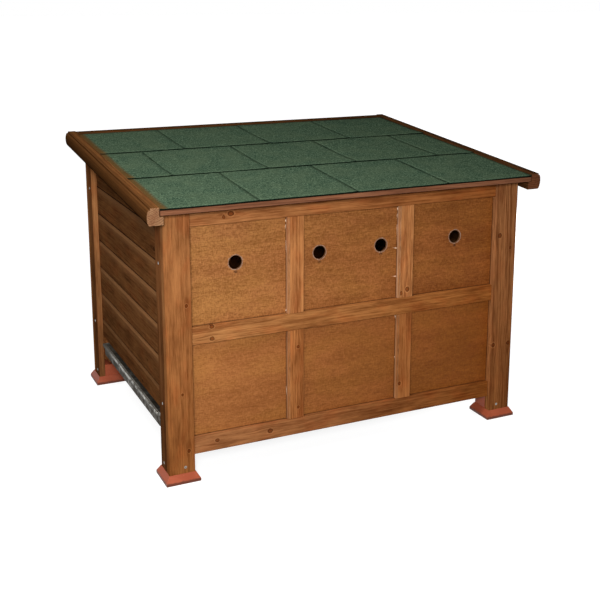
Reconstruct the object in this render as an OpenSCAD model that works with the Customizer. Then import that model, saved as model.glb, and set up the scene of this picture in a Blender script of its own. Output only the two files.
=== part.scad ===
// Duck house: a low boarded hut on four plastic feet, with a single-pitch felted roof
// and a galvanised tray that pulls out at the left end.
// Frame: +Z up, front wall towards -Y, origin on the ground under the middle of the hut.
// The front is the low wall and the left end is the one that the tray comes out of.

/* [Overall] */
// Width of the hut over its corner boards
wall_w = 1000; // [820:1:1250]
// Depth of the hut over its corner boards
wall_d = 776; // [640:1:960]
// Height of the roof's underside above the ground, at the front wall
front_h = 680; // [600:1:820]
// Pitch of the roof in degrees
roof_pitch = 4.66; // [3:0.01:8]

/* [Corners] */
// Width of a corner board on the long walls
corner_w = 66; // [50:1:85]
// Thickness of a corner board
corner_t = 20; // [14:1:28]
// Width of a side stile beside the corner board
stile_w = 46; // [36:1:60]
// Thickness of a side stile
stile_t = 17; // [12:1:24]

/* [Long walls] */
// Width of the rails and the muntins
rail_w = 44; // [34:1:54]
// Thickness of the rails and the muntins
rail_t = 11; // [8:1:13]
// Thickness of the plywood panels
ply_t = 6; // [4:1:12]
// Height of the bottom rail's lower edge above the ground
bottom_rail_z = 62.5; // [60:0.5:70]
// Height of the middle rail's lower edge above the ground
mid_rail_z = 344; // [280:1:400]
// Distance of each muntin's centre line from the middle of the wall
muntin_x = 158; // [120:1:180]

/* [Vents] */
// Diameter of a vent hole
vent_d = 35; // [24:1:45]
// Height of the vents above the ground
vent_z = 535; // [470:1:590]
// Distance of the outer pair of vents from the middle of the wall
vent_outer_x = 314; // [250:1:350]
// Distance of the inner pair of vents from the middle of the wall
vent_inner_x = 88; // [40:1:110]

/* [End walls] */
// Thickness of the shiplap boards
cladding_t = 10; // [8:1:16]
// Height of board that shows between two laps
board_cover = 81.5; // [60:0.5:110]
// Height of the topmost lap that runs the whole depth of the wall
top_lap_z = 617; // [560:1:640]
// Height of the bevel along the top of each board
board_bevel_h = 13; // [6:1:20]
// Depth of the bevel at the lap
board_bevel_t = 4; // [2:0.5:5]
// Gap between the cladding's lower edge and the top of the tray
cladding_gap = 8; // [5:1:12]
// Lap of the bottom rail at the closed end over the cladding
end_rail_lap = 8; // [4:1:14]

/* [Roof] */
// Overhang of the roof's front edge in front of the front wall
front_overhang = 35; // [20:1:60]
// Thickness of the roof deck
deck_t = 15; // [10:1:20]
// Thickness of the roofing felt
felt_t = 3; // [2:0.5:4]
// Length of felt that shows between two laps
felt_exposure = 280; // [240:1:320]
// Length of felt that lies under the next course
felt_lap = 40; // [25:1:60]
// Distance that the felt reaches past the deck's front edge
felt_drip = 3; // [1:0.5:6]
// Spacing of the slits between two felt tabs
tab_w = 263; // [200:1:320]
// Width of a slit between two felt tabs
slit_w = 4; // [2:0.5:7]
// Length of uncut felt between the last slits and the back moulding
slit_stop = 8; // [4:1:30]
// Distance of the first slit from the felt's left edge, in the lower and the upper course
slit_outer = 244; // [200:1:320]
// Distance of the first slit from the felt's left edge, in the middle course
slit_middle = 119; // [60:1:180]

/* [Edge moulding] */
// Height of the moulding round the roof
moulding_h = 43; // [36:1:60]
// Distance that the moulding stands out from the wall
moulding_out = 46; // [44:1:65]
// Gap between the wall and the moulding's lower part
moulding_gap = 6; // [0:1:8]
// Distance that the deck reaches past the wall into the moulding's rebate
rebate_w = 16; // [10:1:18]
// Height of the moulding above the felt
moulding_upstand = 4; // [4:0.5:10]
// Width of the flat along the moulding's top
moulding_flat = 22.5; // [14:0.5:23]
// Height of the step from the flat down to the rounded nose
step_h = 4; // [3:0.5:9]
// Width of the groove along the foot of the step
groove_w = 3; // [2:0.5:4]
// Radius of the moulding's lower outer corner, across its width
nose_low_r = 7; // [4:1:12]

/* [Feet] */
// Distance that a foot's base reaches past the boards
foot_flange = 11; // [6:1:18]
// Height of a foot's upright edge
foot_edge_h = 7; // [4:1:10]
// Height of a foot's sloping collar at the boards
foot_h = 23; // [16:1:32]
// Width of the collar's top edge
foot_lip = 1.5; // [1:0.5:4]
// Thickness of the foot's floor under the boards
foot_floor = 4; // [2:0.5:8]
// Height of the plug that stands inside the corner
plug_h = 58; // [40:1:59]
// Clearance between the foot and the boards
foot_fit = 0.5; // [0.3:0.1:1]

/* [Tray] */
// Height of the tray's floor above the ground
tray_z = 107; // [100:1:112]
// Height of the tray
tray_h = 36; // [30:1:50]
// Thickness of the tray's sheet
tray_sheet = 1; // [0.8:0.1:2]
// Distance of the tray's face behind the side stiles' face
tray_recess = 10; // [6:1:16]
// Width of the lip that is folded out along the face
tray_lip = 5; // [3:1:6]
// Clearance between the tray and the hut round it
tray_gap = 5; // [5:0.5:8]
// Play between the tray and its runners
runner_play = 1; // [0.5:0.5:2]
// Width of a runner's guide that shows beside a side stile
runner_guide = 35; // [20:1:50]
// Thickness of a runner's ledge
runner_t = 18; // [12:1:24]
// Width of tray that a runner's ledge carries
runner_bearing = 18; // [12:1:30]

/* [Hidden] */
$fn = 48;
curve_steps = 8;

// Which end or wall a piece belongs to
LEFT = -1;
RIGHT = 1;
FRONT = -1;
BACK = 1;

stain = [0.55, 0.33, 0.17];
stain_dark = [0.42, 0.24, 0.12];
panel_stain = [0.58, 0.36, 0.19];
felt_green = [0.28, 0.38, 0.30];
terracotta = [0.72, 0.34, 0.22];
zinc = [0.62, 0.63, 0.62];

// The roof's own frame: s runs up the slope from the deck's front edge, h stands on the deck's underside
moulding_top = deck_t + felt_t + moulding_upstand;
moulding_low = moulding_h - moulding_top;
felt_reach = felt_drip * cos(roof_pitch) + (deck_t + felt_t) * sin(roof_pitch);
front_reach = max(moulding_top * sin(roof_pitch), felt_reach);
roof_span = front_overhang + wall_d;
wall_s = roof_span / cos(roof_pitch);
deck_s = wall_s + rebate_w;
roof_s = wall_s + moulding_out;
back_reach = roof_s * cos(roof_pitch) + moulding_low * sin(roof_pitch);

// Places of the walls, with the whole hut's box centred on the origin
eave_y = (front_reach - back_reach) / 2;
front_y = eave_y + front_overhang;
back_y = front_y + wall_d;
post_d = corner_t + stile_w;
ply_face = corner_t;
ply_back = corner_t + ply_t;
cladding_z = tray_z + tray_h + cladding_gap;
guide_d = post_d + runner_guide;
tray_d = guide_d + tray_gap;
ledge_d = tray_d + runner_bearing;

// Height of the roof's underside at a distance y
function roof_z(y) = front_h + (y - front_y) * tan(roof_pitch);

// Distance y of a plane that lies t behind the face of the front or the back wall
function wall_y(wall, t) = wall == FRONT ? front_y + t : back_y - t;

// Height of the lower edge of a long wall's top rail
function top_rail_z(wall) = roof_z(wall_y(wall, 0)) - rail_w;

// Points along a quarter of an ellipse
function quarter(centre, radii, start) = [
  for (i = [0 : curve_steps])
    let (a = start + 90 * i / curve_steps)
    [centre[0] + radii[0] * cos(a), centre[1] + radii[1] * sin(a)]
];

// A slab between two places on X, in either order, whose outline lies in the YZ plane
module slab_x(xa, xb, outline) {
  translate([min(xa, xb), 0, 0]) rotate([90, 0, 90]) linear_extrude(abs(xb - xa)) polygon(outline);
}

// A slab between two places on Y, in either order, whose outline lies in the XZ plane
module slab_y(ya, yb, outline) {
  translate([0, max(ya, yb), 0]) rotate([90, 0, 0]) linear_extrude(abs(yb - ya)) polygon(outline);
}

// A plain board between two opposite corners, in either order
module board(a, b) {
  translate([min(a[0], b[0]), min(a[1], b[1]), min(a[2], b[2])])
    cube([abs(b[0] - a[0]), abs(b[1] - a[1]), abs(b[2] - a[2])]);
}

// An upright board that runs from z0 up to the roof's underside
module board_to_roof(xa, xb, ya, yb, z0) {
  slab_x(xa, xb, [[ya, z0], [yb, z0], [yb, roof_z(yb)], [ya, roof_z(ya)]]);
}

// Puts a piece, drawn from the hut's outer corner inwards, at one of the four corners
module at_corner(end, wall) {
  translate([end * wall_w / 2, wall_y(wall, 0), 0])
    mirror([end == RIGHT ? 1 : 0, 0, 0])
      mirror([0, wall == BACK ? 1 : 0, 0])
        children();
}

// Puts a piece, drawn in the roof's own frame, on the walls
module on_slope() {
  translate([0, eave_y, roof_z(eave_y)]) rotate([roof_pitch, 0, 0]) children();
}

// ---- Feet and corners ----

// Outline of a foot's base, from its floor up to the collar, round boards that reach from 0 to size
function foot_outline(size) = [
  [-foot_flange, 0],
  [size + foot_flange, 0],
  [size + foot_flange, foot_edge_h],
  [size + foot_lip, foot_h],
  [-foot_lip, foot_h],
  [-foot_flange, foot_edge_h]
];

module foot(end, wall) {
  low = [-foot_fit, -foot_fit, foot_floor];
  open_z = foot_h + 1;
  color(terracotta)
    at_corner(end, wall)
      union() {
        difference() {
          intersection() {
            slab_y(-foot_flange, post_d + foot_flange, foot_outline(corner_w));
            slab_x(-foot_flange, corner_w + foot_flange, foot_outline(post_d));
          }
          board(low, [corner_w + foot_fit, corner_t + foot_fit, open_z]);
          board(low, [stile_t + foot_fit, post_d + foot_fit, open_z]);
        }
        board([stile_t + foot_fit, corner_t + foot_fit, foot_floor], [corner_w, post_d, plug_h]);
      }
}

module corner_board(end, wall) {
  outer = end * wall_w / 2;
  color(stain)
    board_to_roof(outer, outer - end * corner_w, wall_y(wall, 0), wall_y(wall, corner_t), foot_floor);
}

module side_stile(end, wall) {
  outer = end * wall_w / 2;
  y0 = wall_y(wall, corner_t);
  y1 = wall_y(wall, post_d);
  color(stain) board_to_roof(outer, outer - end * stile_t, y0, y1, foot_floor);
}

// ---- Long walls ----

// A level rail between the two corner boards of a long wall
module rail(wall, z0) {
  half = wall_w / 2 - corner_w;
  color(stain)
    board([-half, wall_y(wall, ply_face - rail_t), z0], [half, wall_y(wall, ply_face), z0 + rail_w]);
}

module top_rail(wall) {
  half = wall_w / 2 - corner_w;
  face = wall_y(wall, ply_face - rail_t);
  color(stain) board_to_roof(-half, half, face, wall_y(wall, ply_face), top_rail_z(wall));
}

// A short upright between two rails
module muntin(wall, end, z0, z1) {
  x0 = end * muntin_x - rail_w / 2;
  color(stain)
    board([x0, wall_y(wall, ply_face - rail_t), z0], [x0 + rail_w, wall_y(wall, ply_face), z1]);
}

module lower_muntin(wall, end) {
  muntin(wall, end, bottom_rail_z + rail_w, mid_rail_z);
}

module upper_muntin(wall, end) {
  muntin(wall, end, mid_rail_z + rail_w, top_rail_z(wall));
}

// The plywood behind the rails, from the bottom edge to the middle of the mid rail
module lower_panel(wall) {
  half = wall_w / 2 - stile_t;
  z1 = mid_rail_z + rail_w / 2;
  color(panel_stain)
    board([-half, wall_y(wall, ply_face), bottom_rail_z], [half, wall_y(wall, ply_back), z1]);
}

// The plywood from the middle of the mid rail up to the roof, with its four vents
module upper_panel(wall) {
  half = wall_w / 2 - stile_t;
  face = wall_y(wall, ply_face);
  back = wall_y(wall, ply_back);
  color(panel_stain)
    difference() {
      board_to_roof(-half, half, face, back, mid_rail_z + rail_w / 2);
      for (x = [-vent_outer_x, -vent_inner_x, vent_inner_x, vent_outer_x])
        translate([x, (face + back) / 2, vent_z])
          rotate([90, 0, 0]) cylinder(d = vent_d, h = ply_t + 2, center = true);
    }
}

// ---- End walls ----

// Outline of the shiplap: x grows outwards from the boards' inner face
function shiplap_outline(top_z) =
  let (lowest = cladding_z + board_bevel_h)
  let (laps = [for (z = top_lap_z + 2 * board_cover; z > lowest; z = z - board_cover) z])
  concat(
    [[0, top_z], [0, cladding_z], [cladding_t, cladding_z]],
    [for (i = [len(laps) - 1 : -1 : 0]) each [
      [cladding_t, laps[i] - board_bevel_h],
      [cladding_t - board_bevel_t, laps[i]],
      [cladding_t, laps[i]]
    ]],
    [[cladding_t, top_z]]
  );

module cladding(end) {
  y0 = front_y + ply_back;
  y1 = back_y - ply_back;
  top_z = top_lap_z + 2 * board_cover + 1;
  inner = wall_w / 2 - stile_t - cladding_t;
  color(stain_dark)
    mirror([end == LEFT ? 1 : 0, 0, 0])
      intersection() {
        translate([inner, 0, 0]) slab_y(y0, y1, shiplap_outline(top_z));
        board_to_roof(inner - 1, inner + cladding_t + 1, y0, y1, cladding_z - 1);
      }
}

// The rail that closes the foot of the right end and stops the tray
module right_bottom_rail() {
  z1 = cladding_z + end_rail_lap;
  color(stain)
    board(
      [wall_w / 2 - stile_t, front_y + post_d, z1 - rail_w],
      [wall_w / 2, back_y - post_d, z1]
    );
}

// ---- Tray and its runners ----

// A ledge board that carries one edge of the tray, with a guide batten standing on it.
// The guide fills the space between the side stile and the tray and holds up the cladding.
module tray_runner(wall) {
  half = wall_w / 2 - stile_t;
  ledge_z = tray_z - runner_play;
  color(stain_dark)
    slab_x(-half, half, [
      [wall_y(wall, ply_back), ledge_z - runner_t],
      [wall_y(wall, ledge_d), ledge_z - runner_t],
      [wall_y(wall, ledge_d), ledge_z],
      [wall_y(wall, guide_d), ledge_z],
      [wall_y(wall, guide_d), cladding_z],
      [wall_y(wall, post_d), cladding_z],
      [wall_y(wall, post_d), ledge_z],
      [wall_y(wall, ply_back), ledge_z]
    ]);
}

module droppings_tray() {
  low = [-wall_w / 2 + tray_recess, wall_y(FRONT, tray_d), tray_z];
  high = [wall_w / 2 - stile_t - tray_gap, wall_y(BACK, tray_d), tray_z + tray_h];
  sheet = [tray_sheet, tray_sheet, 0];
  color(zinc)
    union() {
      difference() {
        board(low, high);
        board(low + sheet + [0, 0, tray_sheet], high - sheet + [0, 0, 1]);
      }
      board(
        [low[0] - tray_lip, low[1], high[2] - tray_sheet],
        [low[0] + tray_sheet, high[1], high[2]]
      );
    }
}

// ---- Roof ----

module roof_deck() {
  half = wall_w / 2 + rebate_w;
  color(stain) on_slope() board([-half, 0, 0], [half, deck_s, deck_t]);
}

// One course of felt: it laps over the course below it and runs on under the course above it.
// Courses are counted from the eave, and a course's first slit is first_slit from its left edge.
module felt_course(number, first_slit) {
  half = wall_w / 2 + rebate_w;
  s0 = number == 0 ? -felt_drip : deck_s - (3 - number) * felt_exposure;
  s1 = deck_s - (2 - number) * felt_exposure;
  tail = number == 2 ? 0 : felt_lap;
  rise = number == 0 ? 0 : felt_t;
  under = number == 0 ? 0 : felt_lap;
  slit_s = number == 2 ? s1 - slit_stop : s1;
  h = deck_t;
  outline = [
    [s0, h + rise], [s0 + under, h + rise], [s0 + under, h], [s1 + tail, h],
    [s1 + tail, h + felt_t], [s0 + under + felt_t, h + felt_t],
    [s0 + under, h + felt_t + rise], [s0, h + felt_t + rise]
  ];
  color(felt_green)
    on_slope()
      difference() {
        slab_x(-half, half, outline);
        for (x = [first_slit - half : tab_w : half - slit_w])
          board([x - slit_w / 2, s0 - 1, h - 1], [x + slit_w / 2, slit_s, h + 2 * felt_t + 1]);
      }
}

// Outline of the edge moulding, below and above the deck's underside:
// u grows outwards from the wall, and h as on the slope
flat_u = rebate_w + moulding_flat;
nose_top_h = moulding_top - step_h;
nose_top_r = moulding_out - flat_u - groove_w / 2;
moulding_below = concat(
  [[moulding_gap, 0], [moulding_gap, -moulding_low]],
  quarter([moulding_out - nose_low_r, 0], [nose_low_r, moulding_low], 270)
);
moulding_above = concat(
  quarter([moulding_out - nose_top_r, 0], [nose_top_r, nose_top_h], 0),
  [
    [flat_u, nose_top_h - groove_w / 2],
    [flat_u, moulding_top],
    [rebate_w, moulding_top],
    [rebate_w, 0]
  ]
);

module verge(end) {
  color(stain)
    mirror([end == LEFT ? 1 : 0, 0, 0])
      on_slope()
        translate([wall_w / 2, 0, 0]) slab_y(0, roof_s, concat(moulding_below, moulding_above));
}

// The moulding along the back, between the two verges
module roof_back_trim() {
  half_below = wall_w / 2 + moulding_gap;
  half_above = wall_w / 2 + rebate_w;
  color(stain)
    on_slope()
      translate([0, wall_s, 0])
        union() {
          slab_x(-half_below, half_below, moulding_below);
          slab_x(-half_above, half_above, moulding_above);
        }
}

foot(LEFT, FRONT);  // foot_front_left
foot(RIGHT, FRONT);  // foot_front_right
foot(LEFT, BACK);  // foot_back_left
foot(RIGHT, BACK);  // foot_back_right
corner_board(LEFT, FRONT);  // corner_board_front_left
corner_board(RIGHT, FRONT);  // corner_board_front_right
corner_board(LEFT, BACK);  // corner_board_back_left
corner_board(RIGHT, BACK);  // corner_board_back_right
side_stile(LEFT, FRONT);  // side_stile_front_left
side_stile(RIGHT, FRONT);  // side_stile_front_right
side_stile(LEFT, BACK);  // side_stile_back_left
side_stile(RIGHT, BACK);  // side_stile_back_right
rail(FRONT, bottom_rail_z);  // front_bottom_rail
rail(FRONT, mid_rail_z);  // front_mid_rail
top_rail(FRONT);  // front_top_rail
lower_muntin(FRONT, LEFT);  // front_muntin_lower_left
lower_muntin(FRONT, RIGHT);  // front_muntin_lower_right
upper_muntin(FRONT, LEFT);  // front_muntin_upper_left
upper_muntin(FRONT, RIGHT);  // front_muntin_upper_right
lower_panel(FRONT);  // front_panel_lower
upper_panel(FRONT);  // front_panel_upper
rail(BACK, bottom_rail_z);  // back_bottom_rail
rail(BACK, mid_rail_z);  // back_mid_rail
top_rail(BACK);  // back_top_rail
lower_muntin(BACK, LEFT);  // back_muntin_lower_left
lower_muntin(BACK, RIGHT);  // back_muntin_lower_right
upper_muntin(BACK, LEFT);  // back_muntin_upper_left
upper_muntin(BACK, RIGHT);  // back_muntin_upper_right
lower_panel(BACK);  // back_panel_lower
upper_panel(BACK);  // back_panel_upper
cladding(LEFT);  // left_cladding
cladding(RIGHT);  // right_cladding
right_bottom_rail();
tray_runner(FRONT);  // tray_runner_front
tray_runner(BACK);  // tray_runner_back
droppings_tray();
roof_deck();
felt_course(0, slit_outer);  // felt_course_lower
felt_course(1, slit_middle);  // felt_course_middle
felt_course(2, slit_outer);  // felt_course_upper
verge(LEFT);  // verge_left
verge(RIGHT);  // verge_right
roof_back_trim();
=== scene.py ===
"""A boarded duck house on plastic feet, with a felted roof and a pull-out tray."""

import math
import random

import bmesh
import bpy
from mathutils import Matrix, Vector


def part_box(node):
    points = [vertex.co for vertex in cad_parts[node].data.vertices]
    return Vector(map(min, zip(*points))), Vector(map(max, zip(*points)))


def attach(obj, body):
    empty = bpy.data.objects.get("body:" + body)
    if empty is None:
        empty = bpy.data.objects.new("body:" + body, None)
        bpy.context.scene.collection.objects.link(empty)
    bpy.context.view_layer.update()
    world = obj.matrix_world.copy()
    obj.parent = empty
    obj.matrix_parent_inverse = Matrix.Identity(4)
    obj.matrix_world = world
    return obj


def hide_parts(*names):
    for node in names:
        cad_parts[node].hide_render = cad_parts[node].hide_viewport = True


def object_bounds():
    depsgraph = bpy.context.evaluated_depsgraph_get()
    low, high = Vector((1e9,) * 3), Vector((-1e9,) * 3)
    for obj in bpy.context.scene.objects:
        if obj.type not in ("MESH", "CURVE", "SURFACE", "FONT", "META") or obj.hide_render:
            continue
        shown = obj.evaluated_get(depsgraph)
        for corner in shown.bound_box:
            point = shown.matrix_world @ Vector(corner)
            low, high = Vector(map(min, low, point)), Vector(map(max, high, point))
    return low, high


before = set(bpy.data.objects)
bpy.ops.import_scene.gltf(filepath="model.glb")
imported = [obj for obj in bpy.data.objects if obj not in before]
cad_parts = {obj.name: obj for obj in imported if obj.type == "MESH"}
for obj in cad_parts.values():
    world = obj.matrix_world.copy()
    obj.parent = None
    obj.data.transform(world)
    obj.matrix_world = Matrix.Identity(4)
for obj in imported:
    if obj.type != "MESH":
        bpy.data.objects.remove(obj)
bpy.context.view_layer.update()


# ---- Feet ----
# Four moulded shoes that keep the timber off wet ground. Each is one moulding in terracotta
# plastic with softened edges and a satin skin, and a plug inside it grips the corner. The
# corner boards and side stiles stand in its sockets.

def paint(red, green, blue):
    """A colour given in the usual 0 to 255 values, as the linear one that a shader takes."""
    def linear(value):
        share = value / 255
        return share / 12.92 if share <= 0.04045 else ((share + 0.055) / 1.055) ** 2.4
    return (linear(red), linear(green), linear(blue), 1.0)


def feed(node, inputs):
    """Gives each named input of a node a value or another node's output."""
    for name, value in inputs.items():
        if isinstance(value, bpy.types.NodeSocket):
            node.id_data.links.new(value, node.inputs[name])
        else:
            node.inputs[name].default_value = value


def add(kind, inputs, tree=None, **settings):
    """Adds a shader node, in the tree given or else in that of the outputs which feed it."""
    if tree is None:
        tree = next(v.id_data for v in inputs.values() if isinstance(v, bpy.types.NodeSocket))
    node = tree.nodes.new("ShaderNode" + kind)
    for name, value in settings.items():
        setattr(node, name, value)
    feed(node, inputs)
    return node


def maths(operation, *terms):
    return add("Math", dict(enumerate(terms)), operation=operation).outputs[0]


def noise(vector, scale=1.0, detail=2.0, roughness=0.5):
    """Cloudy noise from 0 to 1."""
    return add("TexNoise", {
        "Vector": vector, "Scale": scale, "Detail": detail, "Roughness": roughness,
    }).outputs[0]


def ramp(value, start, end, low=0.0, high=1.0):
    """Goes smoothly from low to high while the value goes from start to end."""
    return add("MapRange", {
        "Value": value, "From Min": start, "From Max": end, "To Min": low, "To Max": high,
    }, interpolation_type="SMOOTHSTEP").outputs[0]


def mixed(share, first, second, how="MIX"):
    """Mixes two colours, which are inputs 6 and 7. Those from 2 to 5 take numbers and vectors."""
    return add("Mix", {0: share, 6: first, 7: second}, data_type="RGBA", blend_type=how).outputs[2]


def axes(vector):
    return add("SeparateXYZ", {0: vector}).outputs


def spot(tree):
    """Where a point is on the house, in metres."""
    return add("TexCoord", {}, tree).outputs["Object"]


def new_material(name, roughness, metallic=0.0, gloss=0.0):
    """A material, its tree and its shader, with the shader's plain numbers."""
    material = bpy.data.materials.new(name)
    material.use_nodes = True
    shader = material.node_tree.nodes["Principled BSDF"]
    feed(shader, {"Roughness": roughness, "Metallic": metallic, "Specular IOR Level": gloss})
    return material, material.node_tree, shader


def bump(shader, height, distance, strength=1.0):
    node = add("Bump", {"Height": height, "Distance": distance, "Strength": strength})
    feed(shader, {"Normal": node.outputs[0]})


def stand(name, data):
    """Puts a new object of the data in the scene."""
    thing = bpy.data.objects.new(name, data)
    bpy.context.scene.collection.objects.link(thing)
    return thing


def rounded(node, width, segments=2):
    """A copy of a CAD node's mesh with its edges rounded, and the set of its rounded faces."""
    work = bmesh.new()
    work.from_mesh(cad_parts[node].data)
    bmesh.ops.remove_doubles(work, verts=work.verts, dist=1e-5)
    bmesh.ops.dissolve_limit(work, angle_limit=math.radians(1), verts=work.verts, edges=work.edges)
    sharp = [e for e in work.edges if e.is_manifold and e.calc_face_angle() > math.radians(25)]
    made = bmesh.ops.bevel(work, geom=sharp, offset=width, segments=segments, profile=0.5,
                           affect="EDGES", clamp_overlap=True)
    work.normal_update()
    return work, set(made["faces"])


def finish(work, name, materials, slot, *nodes, body="house", smooth=True):
    """Makes the work a piece that rides on a body and stands for the CAD nodes given."""
    bmesh.ops.recalc_face_normals(work, faces=work.faces)
    for face in work.faces:
        face.smooth = smooth
    mesh = bpy.data.meshes.new(name)
    work.to_mesh(mesh)
    work.free()
    piece = stand(name, mesh)
    for material in materials:
        mesh.materials.append(material)
    if smooth:
        mesh.set_sharp_from_angle(angle=math.radians(50))
        piece.modifiers.new("flat_faces_stay_flat", "WEIGHTED_NORMAL").keep_sharp = True
    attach(piece, body)
    if nodes:
        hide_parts(*nodes)
    return piece


terracotta, tree, shader = new_material("terracotta_plastic", roughness=0.45, gloss=0.2)
blotch = ramp(noise(spot(tree), 22, 3), 0.3, 0.7)
scuff = ramp(noise(spot(tree), 160, 4, 0.7), 0.58, 0.75)
plastic = mixed(blotch, paint(143, 67, 41), paint(156, 76, 48))
plastic = mixed(maths("MULTIPLY", scuff, 0.3), plastic, paint(196, 120, 92))
# The foot is painted darker towards its bottom edge, over its lowest 13 mm.
low_on_foot = maths("MULTIPLY_ADD", noise(spot(tree), 120, 3), 0.006, axes(spot(tree))[2])
plastic = mixed(ramp(low_on_foot, 0.008, 0.013, 0.75, 0.0), plastic, paint(74, 42, 30))
feed(shader, {"Base Color": plastic, "Roughness": ramp(blotch, 0, 1, 0.38, 0.55)})
bump(shader, noise(spot(tree), 900), 0.0002, 0.4)

WALLS = ("front", "back")
ENDS = ("left", "right")
for wall in WALLS:
    for end in ENDS:
        node = f"foot_{wall}_{end}"
        finish(rounded(node, 0.0015, 3)[0], node + "_moulding", [terracotta], "terracotta_plastic", node)


# ---- Corner boards and side stiles ----
# Planed softwood uprights: 20 mm boards on the long walls and 17 mm stiles behind them on the
# ends, screwed together, under one coat of translucent brown stain that leaves the grain
# and the knots in sight. The stain is thin on the rounded edges. They stand in the feet.

UP = Vector((0, 0, 1))
RIGHTWARDS = Vector((1, 0, 0))
BACKWARDS = Vector((0, 1, 0))
FACE = {"front": Vector((0, -1, 0)), "back": Vector((0, 1, 0)),
        "left": Vector((-1, 0, 0)), "right": Vector((1, 0, 0))}
ARRIS = 0.0012
KNOTS = 4
NO_KNOT = (9.0, 0.0, 0.005)
EVEN = ((0, 0, 0), (0, 0, 0))
# Painted light and shade: each pair below gives, per metre rightwards and per metre downwards, for red, green
# and blue, how much a board's colour is painted darker to the right and lower down, and lighter to the left,
# where the lamps' light falls off.
SHADED_LOWER_DOWN = ((0, 0, 0), (0.28, 0.46, 0.78))
SHADED_AT_FOOT = ((0, 0, 0), (0.75, 0.65, 0.6))


def painted_falloff(point, drift):
    """How much lighter or darker the colour is painted here: painted light and shade, lighter to the left and
    darker to the right and lower down, where the lamps' light falls off.
    """
    rightwards, downwards = drift
    return Vector([1 - r * point.x - d * (0.4 - point.z) for r, d in zip(rightwards, downwards)])


def mark_board(work, start, along, face, label, tone=(1, 1, 1), knots=(), figure=(0.3, 0.5, 0.5),
               drift=EVEN):
    """Writes on each vertex where it lies in its own board, and what the board is like.

    The place is in metres along the grain, across the face and through the board, from start.
    The label settles how the board was sawn. A knot is (along, across, radius). The figure
    is how strong the board's rings, streaks and blotches are.
    """
    chance = random.Random(label)
    across = face.cross(along)
    if sum(across) < 0:
        across = -across
    pith = (chance.uniform(-0.06, 0.06), chance.choice((-1, 1)) * chance.uniform(0.04, 0.12))
    marks = {"board": (chance.uniform(0, 9), *pith), "figure": figure}
    for index, knot in enumerate((list(knots) + [NO_KNOT] * KNOTS)[:KNOTS]):
        marks[f"knot_{index}"] = knot
    layers = work.verts.layers.float_vector
    for name in ("grain", "tone", *marks):
        layers.new(name)
    for vert in work.verts:
        offset = vert.co - start
        vert[layers["grain"]] = Vector((offset.dot(along), offset.dot(across), offset.dot(face)))
        # The tone holds the board's own colour times the painted light and shade.
        vert[layers["tone"]] = Vector(tone) * painted_falloff(vert.co, drift)
        for name, mark in marks.items():
            vert[layers[name]] = Vector(mark)


COLOUR, NUMBER = "NodeSocketColor", "NodeSocketFloat"


def new_group(name, inputs):
    """A shader node group for stained wood with named sockets, its inputs and its output node."""
    group = bpy.data.node_groups.new(name, "ShaderNodeTree")
    for label, value in inputs.items():
        kind = COLOUR if isinstance(value, tuple) else NUMBER
        group.interface.new_socket(label, in_out="INPUT", socket_type=kind).default_value = value
    for label, kind in (("Color", COLOUR), ("Height", NUMBER), ("Roughness", NUMBER)):
        group.interface.new_socket(label, in_out="OUTPUT", socket_type=kind)
    return group, group.nodes.new("NodeGroupInput").outputs, group.nodes.new("NodeGroupOutput")


def board_mark(tree, name):
    return add("Attribute", {}, tree, attribute_name=name).outputs["Vector"]


def drawn_out(place, seeds, along, across):
    """The place in the board times a count per metre along and across the grain."""
    return add("VectorMath", {0: place, 1: (along, across, across), 2: seeds},
               operation="MULTIPLY_ADD").outputs[0]


def vector_of(x, y, z=0.0):
    return add("CombineXYZ", {0: x, 1: y, 2: z}).outputs[0]


def length_of(vector):
    return add("VectorMath", {0: vector}, operation="LENGTH").outputs["Value"]


def layered(total, layer, middle, weight):
    """Adds a layer of noise to the total, counted from the layer's middle."""
    return maths("MULTIPLY_ADD", maths("SUBTRACT", layer, middle), weight, total)


def seeds_of(tree):
    """A far-off place in the noise for each board, and how its pith lies."""
    seed, pith_across, pith_through = axes(board_mark(tree, "board"))
    spread = vector_of(seed, maths("MULTIPLY", seed, 3.7), maths("MULTIPLY", seed, 7.3))
    return spread, pith_across, pith_through


timber, inside, out = new_group("stained_timber", {
    "Pale": paint(166, 110, 66), "Dark": paint(106, 60, 30), "Knot": paint(78, 40, 22), "Ring Width": 0.005})
grain = board_mark(timber, "grain")
seeds, pith_across, pith_through = seeds_of(timber)
along, across, through = axes(grain)
ring_strength, streak_strength, blotch_strength = axes(board_mark(timber, "figure"))

# The fibres part round each knot, so the place across the grain is drawn in beside it.
knot_core = knot_halo = knot_ring = 0.0
ragged = maths("MULTIPLY_ADD", noise(drawn_out(grain, seeds, 150, 220)), 0.6, -0.3)
for index in range(KNOTS):
    knot_along, knot_across, knot_radius = axes(board_mark(timber, f"knot_{index}"))
    beside = maths("SUBTRACT", across, knot_across)
    ahead = maths("SUBTRACT", along, knot_along)
    near = length_of(vector_of(maths("MULTIPLY", ahead, 0.3), beside))
    halo = ramp(maths("DIVIDE", near, knot_radius), 0.5, 3.0, 1.0, 0.0)
    near = length_of(vector_of(maths("MULTIPLY", ahead, 0.85), beside))
    outwards = maths("ADD", maths("DIVIDE", near, knot_radius), ragged)
    core = ramp(outwards, 0.5, 1.15, 1.0, 0.0)
    ring = maths("MULTIPLY", ramp(outwards, 1.1, 1.25), ramp(outwards, 1.3, 1.6, 1.0, 0.0))
    drawn_in = maths("MULTIPLY", maths("MULTIPLY", beside, halo), 0.75)
    across = maths("SUBTRACT", across, drawn_in)
    knot_core = maths("MAXIMUM", core, knot_core)
    knot_halo = maths("MAXIMUM", halo, knot_halo)
    knot_ring = maths("MAXIMUM", ring, knot_ring)

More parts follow.
